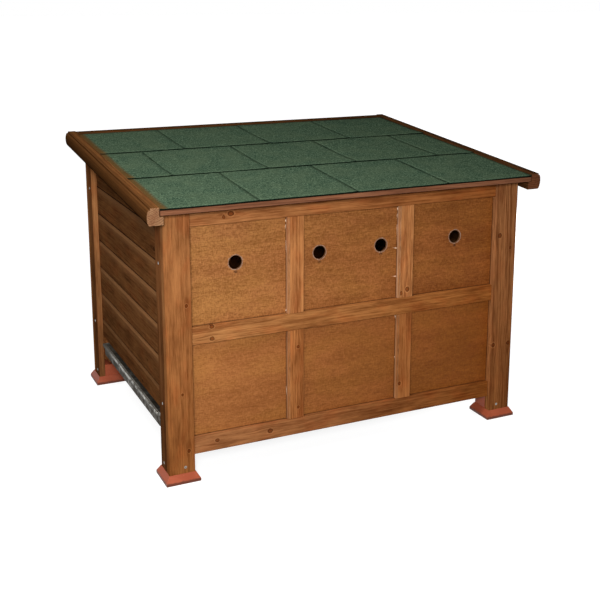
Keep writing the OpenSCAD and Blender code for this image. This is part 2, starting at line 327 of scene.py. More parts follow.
# Growth rings lie round the pith, which is outside the board and wanders along it.
wander = noise(drawn_out(grain, seeds, 2.2, 9), 1, 1)
ring_across = layered(maths("SUBTRACT", across, pith_across), wander, 0.5, 0.03)
ring_through = maths("SUBTRACT", through, pith_through)
radius = length_of(vector_of(ring_across, ring_through))
radius = maths("MULTIPLY_ADD", along, 0.01, radius)
radius = maths("MULTIPLY_ADD", noise(drawn_out(grain, seeds, 3, 60)), 0.006, radius)
uneven = noise(vector_of(maths("MULTIPLY", radius, 70), 0.0))
ring = maths("MULTIPLY_ADD", uneven, 2.2, maths("DIVIDE", radius, inside["Ring Width"]))
ring = maths("FRACT", ring)
late_wood = maths("MULTIPLY", ramp(ring, 0.2, 0.85), ramp(ring, 0.86, 1.0, 1.0, 0.0))

straight = vector_of(along, across, through)
broad = noise(drawn_out(straight, seeds, 1.5, 34))
streaks = noise(drawn_out(straight, seeds, 5, 210), 1, 3, 0.65)
fibres = noise(drawn_out(straight, seeds, 26, 480), 1, 3, 0.6)
blotches = noise(drawn_out(grain, seeds, 9, 24), 1, 4, 0.6)
reddish = noise(drawn_out(grain, seeds, 14, 30))
darkness = maths("MULTIPLY", late_wood, ring_strength)
for layer, strength, weight in ((broad, streak_strength, 1.3), (streaks, streak_strength, 2.3),
                                (blotches, blotch_strength, 1.8)):
    darkness = layered(darkness, layer, 0.48, maths("MULTIPLY", strength, weight))
darkness = layered(darkness, fibres, 0.5, 1.5)
darkness = maths("MULTIPLY_ADD", knot_halo, 0.12, darkness)
darkness = ramp(darkness, -0.6, 0.9)
stained = mixed(darkness, inside["Pale"], inside["Dark"])
ruddy = maths("MULTIPLY", ramp(reddish, 0.45, 0.7), blotch_strength)
stained = mixed(ruddy, stained, mixed(1.0, stained, (1.06, 0.92, 0.88, 1), "MULTIPLY"))
knot_rim = maths("ABSOLUTE", maths("SUBTRACT", knot_core, 0.5))
knot_ring = maths("MULTIPLY", knot_ring, ramp(reddish, 0.4, 0.65, 0.0, 0.4))
stained = mixed(knot_ring, stained, mixed(1.0, inside["Pale"], (1.35, 1.4, 1.5, 1), "MULTIPLY"))
stained = mixed(maths("MULTIPLY", knot_core, 0.85), stained, inside["Knot"])
stained = mixed(ramp(knot_rim, 0.5, 0.1, 0.0, 0.75), stained, paint(46, 22, 8))
stained = mixed(1.0, stained, board_mark(timber, "tone"), "MULTIPLY")
height = maths("MULTIPLY_ADD", late_wood, 0.3, maths("MULTIPLY", fibres, 0.5))
height = maths("MULTIPLY_ADD", knot_core, 0.3, height)
sheen = ramp(maths("ADD", fibres, late_wood), 0.3, 1.6, 0.62, 0.46)
feed(out, {"Color": stained, "Height": height, "Roughness": sheen})


def timber_material(name, pale, dark, knot, ring_width=0.006, relief=0.0004):
    material, tree, shader = new_material(name, roughness=0.55)
    wood = add("Group", {"Pale": pale, "Dark": dark, "Knot": knot, "Ring Width": ring_width},
               tree, node_tree=timber)
    feed(shader, {"Base Color": wood.outputs["Color"], "Roughness": wood.outputs["Roughness"]})
    bump(shader, wood.outputs["Height"], relief)
    return material


PLANED = (paint(168, 110, 64), paint(104, 58, 28), paint(104, 50, 20))
planed = timber_material("planed_timber", *PLANED)
worn_edge = timber_material("worn_timber_edge", paint(158, 102, 58), paint(100, 56, 28), paint(76, 38, 20))
board_side = timber_material("corner_board_side", paint(182, 124, 76), paint(118, 72, 39), paint(104, 50, 20))
stile_wood = timber_material("stile_timber", paint(150, 96, 56), paint(90, 52, 27), paint(70, 36, 20))


def timber_piece(node, along, face, materials, raw=None, **board):
    """A CAD board with worn edges. Its knots count from its start and from its middle line.

    The sides across the raw direction took less stain, and have the third material.
    """
    low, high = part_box(node)
    start = (low + high) / 2 + along * ((low - high).dot(along) / 2)
    work, edges = rounded(node, ARRIS)
    for made in work.faces:
        made.material_index = 1 if made in edges else 2 if raw and abs(made.normal.dot(raw)) > 0.8 else 0
    mark_board(work, start, along, face, node, **board)
    finish(work, node + "_timber", materials, "stained_timber", node)


corner_looks = {
    ("front", "left"): ((0.86, 0.85, 0.825), (0.12, 0.5, 0.9),
                        [(0.444, 0.020, 0.0038), (0.223, 0.005, 0.0032), (0.075, 0.018, 0.004)]),
    ("front", "right"): ((0.85, 0.84, 0.87), (0.3, 1.0, 0.5),
                         [(0.524, -0.020, 0.006), (0.487, 0.016, 0.0036), (0.212, -0.027, 0.0055),
                          (0.212, 0.023, 0.0055)]),
    ("back", "left"): ((0.92, 0.91, 0.9), (0.3, 0.6, 0.5), [(0.31, 0.012, 0.006), (0.55, -0.015, 0.005)]),
    ("back", "right"): ((0.91, 0.92, 0.92), (0.2, 0.5, 0.6), [(0.12, -0.01, 0.006), (0.47, 0.02, 0.0055)]),
}
for (wall, end), (tone, figure, knots) in corner_looks.items():
    timber_piece(f"corner_board_{wall}_{end}", UP, FACE[wall], [planed, worn_edge, board_side],
                 raw=RIGHTWARDS, tone=tone, figure=figure, knots=knots, drift=SHADED_LOWER_DOWN)
    timber_piece(f"side_stile_{wall}_{end}", UP, FACE[end], [stile_wood, worn_edge, board_side],
                 raw=BACKWARDS, tone=(0.78, 0.8, 0.82), figure=(0.2, 0.6, 0.7), drift=SHADED_AT_FOOT)


# ---- Rails and muntins ----
# Thin planed battens, 44 mm wide, glued and pinned over the plywood so that each long wall
# looks panelled. Three rails run between the corner boards, with two short muntins between
# each pair. The muntins' cut sides took little stain.

# Painted light and shade for the battens and sheets: darker to the right and a little lower down, most on the
# bottom rails and the lower sheets.
SHADED_TO_RIGHT = ((0.36, 0.66, 1.1), (0, 0.05, 0.25))
MORE_SHADED_TO_RIGHT = ((0.52, 0.82, 1.3), (0, 0.05, 0.25))
rail_looks = {
    "front_top_rail": ((1.02, 0.97, 0.9), [(0.106, 0.000, 0.0065), (0.088, -0.004, 0.0035)]),
    "front_mid_rail": ((1.04, 1.05, 0.97), [(0.053, 0.019, 0.005), (0.053, -0.012, 0.0055)]),
    "front_bottom_rail": ((0.86, 0.84, 0.89), [(0.062, 0.0035, 0.005), (0.204, 0.001, 0.0062)]),
    "back_top_rail": ((0.98, 0.96, 0.93), [(0.52, 0.004, 0.005)]),
    "back_mid_rail": ((1.09, 1.07, 1.04), [(0.22, -0.006, 0.006), (0.71, 0.008, 0.005)]),
    "back_bottom_rail": ((0.94, 0.92, 0.94), [(0.64, 0.0, 0.006)]),
}
for node, (tone, knots) in rail_looks.items():
    timber_piece(node, RIGHTWARDS, FACE[node.split("_")[0]], [planed, worn_edge],
                 knots=knots, tone=tone, figure=(0.2, 0.6, 0.9),
                 drift=MORE_SHADED_TO_RIGHT if "bottom" in node else SHADED_TO_RIGHT)

raw_side = timber_material("batten_side", paint(168, 126, 92), paint(122, 84, 58), paint(96, 60, 40))


def toned_over(material, share, colour):
    """Lays another colour over a timber material, in the board's own tone, as deep as the share."""
    tree = material.node_tree
    shader = tree.nodes["Principled BSDF"]
    stained = shader.inputs["Base Color"].links[0].from_socket
    toned = mixed(1.0, colour, board_mark(tree, "tone"), "MULTIPLY")
    feed(shader, {"Base Color": mixed(share, stained, toned)})


muntin_wood = timber_material("muntin_timber", *PLANED)
tree = muntin_wood.node_tree
furry = noise(drawn_out(board_mark(tree, "grain"), (0, 0, 0), 60, 300), 1, 3, 0.7)
from_edge = maths("MULTIPLY_ADD", furry, 0.008, axes(board_mark(tree, "grain"))[1])
greyed = mixed(ramp(furry, 0.35, 0.65), paint(106, 72, 48), paint(148, 106, 74))
toned_over(muntin_wood, ramp(from_edge, -0.0135, -0.0105, 0.7, 0.0), greyed)
muntin_looks = {
    "front_muntin_lower_left": ((1.11, 1.06, 0.98), [(0.1925, 0.006, 0.004), (0.0295, 0.006, 0.0035)]),
    "front_muntin_lower_right": ((1.02, 0.94, 0.83), [(0.0425, -0.012, 0.0045)]),
    "front_muntin_upper_left": ((1.26, 1.3, 1.33), []),
    "front_muntin_upper_right": ((1.4, 1.48, 1.56), [(0.022, 0.006, 0.006), (0.013, -0.012, 0.005)]),
    "back_muntin_lower_left": ((1.08, 1.04, 0.98), []),
    "back_muntin_lower_right": ((1.05, 1.0, 0.92), [(0.11, -0.008, 0.004)]),
    "back_muntin_upper_left": ((1.2, 1.22, 1.2), [(0.2, 0.005, 0.004)]),
    "back_muntin_upper_right": ((1.15, 1.15, 1.1), []),
}
for node, (tone, knots) in muntin_looks.items():
    timber_piece(node, UP, FACE[node.split("_")[0]], [muntin_wood, worn_edge, raw_side], knots=knots,
                 raw=RIGHTWARDS, tone=tone, figure=(0.12, 0.7, 0.8))


# ---- Plywood panels ----
# Two sheets of 6 mm plywood to a wall, set behind the battens with the face veneer's grain
# level, under the same stain. Four vents are cut through each upper sheet with a hole saw,
# which left a thin ring of torn veneer round the edge and a smudge below it.

veneer, inside, out = new_group("stained_veneer", {"Pale": paint(166, 112, 64), "Dark": paint(112, 66, 32)})
grain = board_mark(veneer, "grain")
seeds = seeds_of(veneer)[0]
along, across, _ = axes(grain)
swayed = vector_of(along, layered(across, noise(drawn_out(grain, seeds, 5, 9)), 0.5, 0.018))
darkness = 0.0
for along_count, across_count, detail, weight in (
        (2, 20, 2, 0.5),
        (10, 70, 3, 0.45),
        (45, 330, 3, 0.7),
        (130, 420, 3, 0.9),
        (330, 150, 2, 0.9),
        (7, 12, 2, 0.45),
        (3, 4, 2, 0.5)):
    layer = noise(drawn_out(swayed, seeds, along_count, across_count), 1, detail, 0.6)
    darkness = layered(darkness, layer, 0.49, weight)
darkness = maths("MULTIPLY", darkness, axes(board_mark(veneer, "figure"))[0])
pores = ramp(noise(drawn_out(swayed, seeds, 60, 700)), 0.58, 0.7)
darkness = ramp(maths("MULTIPLY_ADD", pores, 0.3, darkness), -0.62, 0.68)
stained = mixed(darkness, inside["Pale"], inside["Dark"])
ruddy = ramp(noise(drawn_out(swayed, seeds, 8, 15), 1, 3), 0.38, 0.62)
warmth = mixed(ruddy, (0.99, 1.0, 0.9, 1), (1.01, 0.965, 0.97, 1))
stained = mixed(1.0, stained, warmth, "MULTIPLY")
stained = mixed(1.0, stained, board_mark(veneer, "tone"), "MULTIPLY")
height = maths("MULTIPLY_ADD", pores, -0.6, darkness)
feed(out, {"Color": stained, "Height": height, "Roughness": ramp(darkness, 0.2, 0.8, 0.62, 0.48)})

VENT_RADIUS = 0.0175


def vent_centres(node):
    """The middles of a panel's vents, from left to right, from the holes in its CAD mesh."""
    low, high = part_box(node)
    edge = 0.04
    rings = []
    points = [v.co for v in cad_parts[node].data.vertices]
    inner = [p for p in points if all(low[i] + edge < p[i] < high[i] - edge for i in (0, 2))]
    for point in sorted(inner, key=lambda p: p.x):
        if not rings or point.x - rings[-1][0].x > 3 * VENT_RADIUS:
            rings.append([])
        rings[-1].append(point)
    return [sum((p.copy() for p in ring), Vector()) / len(ring) for ring in rings]


def ply_face_material(wall):
    """The face veneer of one wall, smudged below its vents, with a dark line of painted shade, and some
    pooled stain, in the corners along its battens.
    """
    face, tree, shader = new_material(f"{wall}_stained_plywood", roughness=0.55, gloss=0.08)
    wood = add("Group", {"Pale": paint(170, 114, 66), "Dark": paint(112, 66, 30)},
               tree, node_tree=veneer)
    feed(shader, {"Roughness": wood.outputs["Roughness"]})
    bump(shader, wood.outputs["Height"], 0.0004)
    x, _, z = axes(spot(tree))
    smudge = 0.0
    for vent in vent_centres(f"{wall}_panel_upper"):
        sideways = maths("SUBTRACT", x, vent.x)
        below = maths("MULTIPLY", maths("SUBTRACT", z, vent.z - 0.024), 1.4)
        from_smudge = length_of(vector_of(sideways, below))
        smudge = maths("MAXIMUM", ramp(from_smudge, 0.002, 0.007, 1.0, 0.0), smudge)
    patchy = ramp(noise(spot(tree), 260), 0.3, 0.55, 0.2, 0.95)
    stained = mixed(maths("MULTIPLY", smudge, patchy), wood.outputs["Color"], paint(62, 36, 22))

    lines = [(x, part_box(f"corner_board_{wall}_left")[1].x),
             (x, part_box(f"corner_board_{wall}_right")[0].x)]
    for end in ENDS:
        lines += [(x, corner.x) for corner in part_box(f"{wall}_muntin_upper_{end}")]
    lines += [(z, corner.z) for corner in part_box(f"{wall}_mid_rail")]
    lines += [(z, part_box(f"{wall}_bottom_rail")[1].z), (z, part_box(f"{wall}_top_rail")[0].z)]
    from_batten = 1.0
    for place, line in lines:
        away = maths("ABSOLUTE", maths("SUBTRACT", place, line))
        from_batten = maths("MINIMUM", away, from_batten)
    # A dark line in the corners where the sheet meets its battens: painted shade, standing in for the shadow
    # line there, with some pooled stain.
    shade_line_by_batten = maths("MULTIPLY_ADD", noise(spot(tree), 60, 3), 0.0012, from_batten)
    stained = mixed(ramp(shade_line_by_batten, 0.001, 0.0032, 0.75, 0.0), stained, paint(54, 30, 16))
    feed(shader, {"Base Color": stained})
    return face


torn_veneer, tree, shader = new_material("torn_veneer", roughness=0.8, gloss=0.1)
torn = ramp(noise(spot(tree), 420, 3), 0.35, 0.65)
feed(shader, {"Base Color": mixed(torn, paint(158, 128, 108), paint(124, 88, 66))})
bump(shader, noise(spot(tree), 700, 3), 0.0006)

cut_plies, tree, shader = new_material("cut_plies", roughness=0.8)
ply = maths("PINGPONG", axes(spot(tree))[1], 0.0012)
feed(shader, {"Base Color": mixed(ramp(ply, 0.0004, 0.0008), paint(116, 78, 50), paint(62, 38, 24))})
bump(shader, noise(spot(tree), 600), 0.0005)

RIM_STEPS = 64


def faces_of(node, side):
    """Where a node's outer and inner faces are, along the axis that its side of the hut faces."""
    low, high = (corner.y if side in WALLS else corner.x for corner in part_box(node))
    return (low, high) if side in ("front", "left") else (high, low)


def arc(x, y, radius, start, end, steps):
    """Points from one angle to another, in degrees, both included."""
    turns = [math.radians(start + (end - start) * step / steps) for step in range(steps + 1)]
    return [(x + radius * math.cos(turn), y + radius * math.sin(turn)) for turn in turns]


def circle(x, y, radius, steps):
    return arc(x, y, radius, 0, 360, steps)[:-1]


def filled(work, loops):
    """Fills the outline that comes first and leaves the others open, as holes."""
    edges = [work.edges.new((loop[i - 1], loop[i])) for loop in loops for i in range(len(loop))]
    bmesh.ops.triangle_fill(work, use_beauty=True, use_dissolve=False, edges=edges)


def skin(work, rows, closed=True):
    """Faces between each row of points and the next, round the rows if they are closed."""
    for first, second in zip(rows, rows[1:]):
        for i in range(0 if closed else 1, len(first)):
            work.faces.new((first[i - 1], first[i], second[i], second[i - 1]))


def plywood_sheet(node, surface, tone, drift, contrast, vents):
    """A sheet with its vents cut out. Its top edge follows the slope of the roof."""
    low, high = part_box(node)
    wall = node.split("_")[0]
    face_y, inner_y = faces_of(node, wall)
    points = [v.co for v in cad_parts[node].data.vertices]
    face_top, inner_top = (max(p.z for p in points if abs(p.y - y) < 1e-4) for y in (face_y, inner_y))
    work = bmesh.new()
    loops = [[(low.x, low.z), (high.x, low.z), (high.x, face_top), (low.x, face_top)]]
    loops += [circle(vent.x, vent.z, VENT_RADIUS, RIM_STEPS) for vent in vents]
    filled(work, [[work.verts.new((x, face_y, z)) for x, z in loop] for loop in loops])
    made = bmesh.ops.extrude_face_region(work, geom=work.faces[:])["geom"]
    for vert in (g for g in made if isinstance(g, bmesh.types.BMVert)):
        vert.co.y = inner_y
        if vert.co.z > face_top - 1e-5:
            vert.co.z = inner_top
    work.normal_update()
    for face in work.faces:
        face.material_index = 1 if abs(face.normal.y) < 0.5 else 0
    start = Vector((low.x, face_y, (low.z + high.z) / 2))
    mark_board(work, start, RIGHTWARDS, FACE[wall], node, tone=tone, figure=(contrast, 0, 0), drift=drift)
    finish(work, node + "_plywood", [surface, cut_plies], "stained_plywood", node, smooth=False)


def vent_rim(centre, face_y, outwards, label):
    """The torn ring of veneer round a vent: low, crushed and uneven."""
    chance = random.Random(f"vent {label}")
    work = bmesh.new()
    uneven = [chance.uniform(0.5, 1.3) for _ in range(RIM_STEPS)]
    rings = []
    for reach, rise in ((-0.0002, -0.0004), (0.0004, 0.00012), (0.0016, 0.0002), (0.0028, 0.00004)):
        verts = []
        for step, (x, z) in enumerate(circle(0, 0, 1, RIM_STEPS)):
            spread = VENT_RADIUS + reach * (uneven[step] + uneven[step - 1] + uneven[step - 2]) / 3
            offset = Vector((x * spread, outwards * rise, z * spread))
            verts.append(work.verts.new(Vector((centre.x, face_y, centre.z)) + offset))
        rings.append(verts)
    skin(work, rings)
    return work


def gathered(works):
    """Puts several works into one."""
    whole = bmesh.new()
    for work in works:
        mesh = bpy.data.meshes.new("part")
        work.to_mesh(mesh)
        work.free()
        whole.from_mesh(mesh)
        bpy.data.meshes.remove(mesh)
    return whole


for wall in WALLS:
    upper = f"{wall}_panel_upper"
    vents = vent_centres(upper)
    surface = ply_face_material(wall)
    plywood_sheet(upper, surface, (0.92, 0.86, 0.76), SHADED_TO_RIGHT, 1.1, vents)
    plywood_sheet(f"{wall}_panel_lower", surface, (0.92, 0.82, 0.7), MORE_SHADED_TO_RIGHT, 0.75, [])
    face_y = faces_of(upper, wall)[0]
    rims = [vent_rim(vent, face_y, FACE[wall].y, f"{wall} {number}") for number, vent in enumerate(vents)]
    finish(gathered(rims), f"{wall}_vent_rims", [torn_veneer], "stained_plywood")


# ---- Shiplap ends ----
# Level boards nailed across each end and lapped to shed rain: the scooped top edge of each
# board tucks behind the square foot of the one above. Their sawn faces drank more stain, and
# it dried dull. The top boards are cut to the slope of the roof.

shiplap = timber_material("sawn_shiplap", paint(136, 86, 50), paint(80, 46, 24), paint(56, 32, 18),
                          ring_width=0.007, relief=0.0008)
# The scoop's own material is paler, and the loop below paints each board paler towards its top: a painted
# highlight where the scooped edge faces up to the light.
scooped = timber_material("shiplap_scoop_painted_light", paint(134, 89, 55), paint(94, 59, 35), paint(80, 50, 30),
                          ring_width=0.007)
for board in (shiplap, scooped):
    tree = board.node_tree
    across = axes(board_mark(tree, "grain"))[1]
    painted_light_up_board = maths("MULTIPLY_ADD", noise(spot(tree), 40), 0.006, across)
    toned_over(board, ramp(painted_light_up_board, 0.010, 0.036, 0.0, 0.55), paint(152, 103, 68))
# Painted shade: a near black copy of the timber for the underside of each board's foot, for the top of its
# scoop where that tucks behind the board above, and for the undersides of the mouldings.
painted_shade_timber = timber_material("shiplap_painted_shade", paint(54, 33, 20), paint(36, 21, 13), paint(36, 21, 13))
deck = [v.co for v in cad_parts["roof_deck"].data.vertices]
eave = min(deck, key=lambda p: p.z).copy()
deck_back = max(deck, key=lambda p: p.y)
rise = (deck_back.z - eave.z) / (deck_back.y - eave.y)
UP_SLOPE = Vector((0, 1, rise)).normalized()
OFF_SLOPE = Vector((0, -rise, 1)).normalized()
SCOOP_H = 0.013
SCOOP_T = 0.004
SCOOP_STEPS = 8
PAINTED_SHADE_STEPS = 3


def shiplap_board(outer, inner, foot, head, ends):
    """One board: a square foot, a flat face, and a scooped top that goes behind the next."""
    inwards = 1 if inner > outer else -1
    outline = [(inner, foot), (outer + inwards * ARRIS, foot), (outer, foot + ARRIS), (outer, head - SCOOP_H)]
    for step in range(1, SCOOP_STEPS + 1):
        up = step / SCOOP_STEPS
        outline.append((outer + inwards * SCOOP_T * up * (1.6 - 0.6 * up), head - SCOOP_H * (1 - up)))
    outline.append((inner, head))
    work = bmesh.new()
    first, last = ([work.verts.new((x, y, z)) for x, z in outline] for y in ends)
    work.faces.new(first)
    work.faces.new(last)
    for corner in range(len(outline)):
        side = work.faces.new((first[corner - 1], first[corner], last[corner], last[corner - 1]))
        # The foot's underside and the top steps of the scoop are painted dark as painted shade; the other
        # scoop steps take the paler material, a painted highlight.
        painted_dark = corner == 1 or corner > 3 + SCOOP_STEPS - PAINTED_SHADE_STEPS
        side.material_index = 2 if painted_dark else 1 if corner > 3 else 0
    cut = bmesh.ops.bisect_plane(work, geom=work.verts[:] + work.edges[:] + work.faces[:],
                                 plane_co=eave, plane_no=OFF_SLOPE, clear_outer=True)["geom_cut"]
    rim = [e for e in cut if isinstance(e, bmesh.types.BMEdge)]
    if rim:
        bmesh.ops.contextual_create(work, geom=rim)
    return work


for end in ENDS:
    node = f"{end}_cladding"
    low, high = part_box(node)
    outer, inner = faces_of(node, end)
    # The boards lap where the CAD's cladding is cut in behind its face.
    laps = sorted({round(v.co.z, 4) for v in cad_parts[node].data.vertices
                   if 0.002 < abs(v.co.x - outer) < 0.006})
    laps = [low.z] + laps + [2 * laps[-1] - laps[-2]]
    boards = []
    for number, (foot, head) in enumerate(zip(laps, laps[1:])):
        work = shiplap_board(outer, inner, foot, head, (low.y, high.y))
        chance = random.Random(f"{end} {number}")
        shade = chance.uniform(0.9, 1.1)
        knots = [(chance.uniform(0.05, 0.7), chance.uniform(-0.02, 0.02), chance.uniform(0.003, 0.006))
                 for _ in range(chance.choice((0, 1, 1, 2)))]
        start = Vector((outer, low.y, (foot + head) / 2))
        mark_board(work, start, BACKWARDS, FACE[end], f"{end} {number}",
                   tone=(shade * 0.82, shade * 0.88, shade * 0.85), knots=knots, figure=(0.2, 0.4, 0.8))
        boards.append(work)
    finish(gathered(boards), f"{end}_shiplap_boards", [shiplap, scooped, painted_shade_timber],
           "stained_shiplap", node, smooth=False)


# ---- Tray runners and the closed end's rail ----
# Inside each long wall a board with a guide batten on it carries one edge of the tray. At
# the right end a planed rail covers the foot of the shiplap and stops the tray.

for wall in WALLS:
    timber_piece(f"tray_runner_{wall}", RIGHTWARDS, UP, [planed, worn_edge], tone=(0.8, 0.78, 0.75))
timber_piece("right_bottom_rail", BACKWARDS, FACE["right"], [planed, worn_edge],
             knots=[(0.21, 0.004, 0.006), (0.48, -0.008, 0.005)], tone=(0.94, 0.92, 0.9))


# ---- Droppings tray ----
# A shallow pan folded from thin galvanised sheet, with its top edge hemmed inwards. A strip
# is folded over the end wall as a lip to pull by, and use has dented it. It slides out at
# the left end. The zinc has dulled. Below the lip it is painted dark, as painted shade
# under the lip mixed with smears of dirt, and it darkens towards the far end.

galvanised, tree, shader = new_material("galvanised_sheet", roughness=0.4)
low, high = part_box("droppings_tray")
crystals = add("TexVoronoi", {"Vector": spot(tree), "Scale": 90.0}).outputs["Color"]
haze = noise(spot(tree), 14, 4, 0.65)
zinc = mixed(axes(crystals)[0], paint(148, 146, 138), paint(180, 178, 170))
zinc = mixed(ramp(haze, 0.42, 0.66), zinc, paint(112, 110, 104))
streaky = noise(drawn_out(spot(tree), (0, 0, 0), 30, 60), 1, 3)
below_lip = maths("MULTIPLY_ADD", streaky, 0.006, axes(spot(tree))[2])
# Painted shade under the lip, mixed with smears of dirt.
shade_and_dirt = ramp(below_lip, high.z - 0.006, high.z + 0.002, 0.9, 0.0)
smears = noise(drawn_out(spot(tree), (0, 0, 0), 60, 34), 1, 4, 0.7)
shade_and_dirt = maths("MULTIPLY", shade_and_dirt, ramp(smears, 0.36, 0.58, 0.6, 1.0))
shade_and_dirt = maths("MAXIMUM", shade_and_dirt, ramp(smears, 0.46, 0.6, 0.0, 0.75))
far_end = ramp(axes(spot(tree))[1], high.y - 0.22, high.y - 0.03, 0.0, 0.85)
shade_and_dirt = maths("MAXIMUM", shade_and_dirt, far_end)
near_end = ramp(axes(spot(tree))[0], low.x + 0.02, low.x + 0.1, 1.0, 0.35)
shade_and_dirt = maths("MULTIPLY", shade_and_dirt, near_end)
feed(shader, {"Base Color": mixed(shade_and_dirt, zinc, paint(62, 54, 44)),
              "Metallic": ramp(shade_and_dirt, 0, 1, 1.0, 0.1), "Roughness": ramp(haze, 0.3, 0.7, 0.28, 0.5)})
bump(shader, noise(spot(tree), 45), 0.003, 0.4)

SHEET = 0.0008
LIP = 0.005
CORNER = 0.003


def thickened(piece, thickness, offset=-1):
    """Gives a sheet its thickness, inwards or outwards."""
    sheet = piece.modifiers.new("sheet_thickness", "SOLIDIFY")
    sheet.thickness = thickness
    sheet.offset = offset
    return sheet


def rectangle_ring(work, inset, z):
    """A level ring of the pan with small round corners, inset from its outside."""
    verts = []
    for corner, (x, y) in enumerate(((1, 1), (0, 1), (0, 0), (1, 0))):
        centre_x = high.x - CORNER if x else low.x + LIP + CORNER
        centre_y = high.y - CORNER if y else low.y + CORNER
        turned = arc(centre_x, centre_y, CORNER - inset, corner * 90, corner * 90 + 90, 3)
        verts += [work.verts.new((*point, z)) for point in turned]
    return verts


fold = 0.002
hem = 0.0012
profile = arc(fold, low.z + fold, fold, 270, 180, 4) + arc(hem, high.z - hem, hem, 180, 0, 4)
profile.append((2 * hem, high.z - 0.008))
work = bmesh.new()
rings = [rectangle_ring(work, inset, z) for inset, z in profile]
skin(work, rings)
work.faces.new(rings[0])
pan = finish(work, "droppings_tray_pan", [galvanised], "galvanised_sheet", "droppings_tray", body="tray")
thickened(pan, SHEET)

# The lip goes up the wall's outside, over its top and down in front, where it turns in.
fold = 0.0018
wall_x = low.x + LIP
behind = wall_x - 0.0002
profile = [(behind, high.z - 0.012)]
profile += arc(behind - fold, high.z - fold, fold, 0, 90, 4)
profile += arc(low.x + fold, high.z - fold, fold, 90, 180, 4)
profile += [(low.x, high.z - 0.0075), (low.x + 0.0006, high.z - 0.0082), (low.x + 0.0012, high.z - 0.0075)]
LIP_STEPS = 90
chance = random.Random("lip")
work = bmesh.new()
rows = []
dent = [chance.uniform(-1, 1) for _ in range(LIP_STEPS + 3)]
for step in range(LIP_STEPS + 1):
    y = low.y + 0.002 + (high.y - low.y - 0.004) * step / LIP_STEPS
    pushed = sum(dent[step:step + 3]) / 3
    inwards, downwards = 0.0006 * max(pushed, 0), 0.0005 * min(pushed, 0)
    row = []
    for x, z in profile:
        out_by = (wall_x - x) / LIP
        row.append(work.verts.new((x + inwards * out_by, y, z + downwards * out_by)))
    rows.append(row)
skin(work, rows, closed=False)
lip = finish(work, "droppings_tray_lip", [galvanised], "galvanised_sheet", body="tray")
thickened(lip, 0.0006, offset=1)


# ---- Roof deck ----
# A flat deck of planed board that bears on the walls and hangs over the front, stained
# like the rest. Only its front edge and its underside show below the felt.

deck_wood = timber_material("deck_timber", paint(136, 90, 64), paint(88, 54, 38), paint(66, 36, 24),
                            ring_width=0.005)
# The rounded edges are painted near black: painted shade, standing in for the dark line under the deck's
# front edge.
deck_shade_edge = timber_material("deck_edge_painted_shade", paint(64, 34, 22), paint(34, 18, 12), paint(34, 18, 12))
work, edges = rounded("roof_deck", 0.0018)
for face in work.faces:
    face.material_index = 1 if face in edges else 0
mark_board(work, Vector((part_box("roof_deck")[0].x, eave.y, eave.z)), RIGHTWARDS, -UP_SLOPE, "deck",
           figure=(0.3, 0.8, 0.4))
finish(work, "roof_deck_boards", [deck_wood, deck_shade_edge], "stained_roof_timber", "roof_deck")


# ---- Roofing felt ----
# Bitumen felt faced with green mineral granules, nailed to the deck in three courses from
# the eave up, each lapped over the last. Each course is slit into tabs like a row of slates,
# which lie a little uneven, over a plain black underlay that shows in the slits. The stain
# brush strayed over the felt beside the left moulding.

felt, tree, shader = new_material("green_mineral_felt", roughness=0.92)
granules = add("TexVoronoi", {"Vector": spot(tree), "Scale": 440.0}).outputs["Color"]
granule = axes(granules)[0]
clump = noise(spot(tree), 240, 3, 0.7)
patch = noise(spot(tree), 14, 4, 0.6)
green = mixed(ramp(granule, 0.1, 0.9), paint(44, 62, 48), paint(96, 115, 91))
green = mixed(ramp(clump, 0.35, 0.65, 0.0, 0.9), green, paint(40, 58, 45))
green = mixed(ramp(patch, 0.35, 0.7, 0.0, 0.4), green, paint(78, 92, 70))
from_verge = maths("MULTIPLY_ADD", clump, -0.008, axes(spot(tree))[0])
verge_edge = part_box("verge_left")[1].x
brushed_over = ramp(from_verge, verge_edge - 0.004, verge_edge + 0.011, 0.85, 0.0)
green = mixed(brushed_over, green, paint(84, 56, 24))
feed(shader, {"Base Color": green, "Roughness": ramp(granule, 0, 1, 0.8, 1.0)})
bump(shader, maths("MULTIPLY_ADD", clump, 1.2, granule), 0.0012)

bitumen, tree, shader = new_material("bitumen", roughness=0.7)
tar = ramp(noise(spot(tree), 300, 3), 0.4, 0.7)
feed(shader, {"Base Color": mixed(tar, paint(12, 20, 14), paint(28, 40, 30))})
bump(shader, noise(spot(tree), 500), 0.0004)

FELT_T = 0.0022
CAD_SLIT = 0.004
SLIT = 0.0013
CELL = 0.011


def on_slope(x, s, h):
    """A point x across the roof, s up its slope from the eave and h off the deck's underside."""
    return Vector((x, eave.y, eave.z)) + UP_SLOPE * s + OFF_SLOPE * h


def slope_place(point):
    """How far up the slope a point is, and how far off the deck's underside."""
    offset = point - eave
    return offset.dot(UP_SLOPE), offset.dot(OFF_SLOPE)


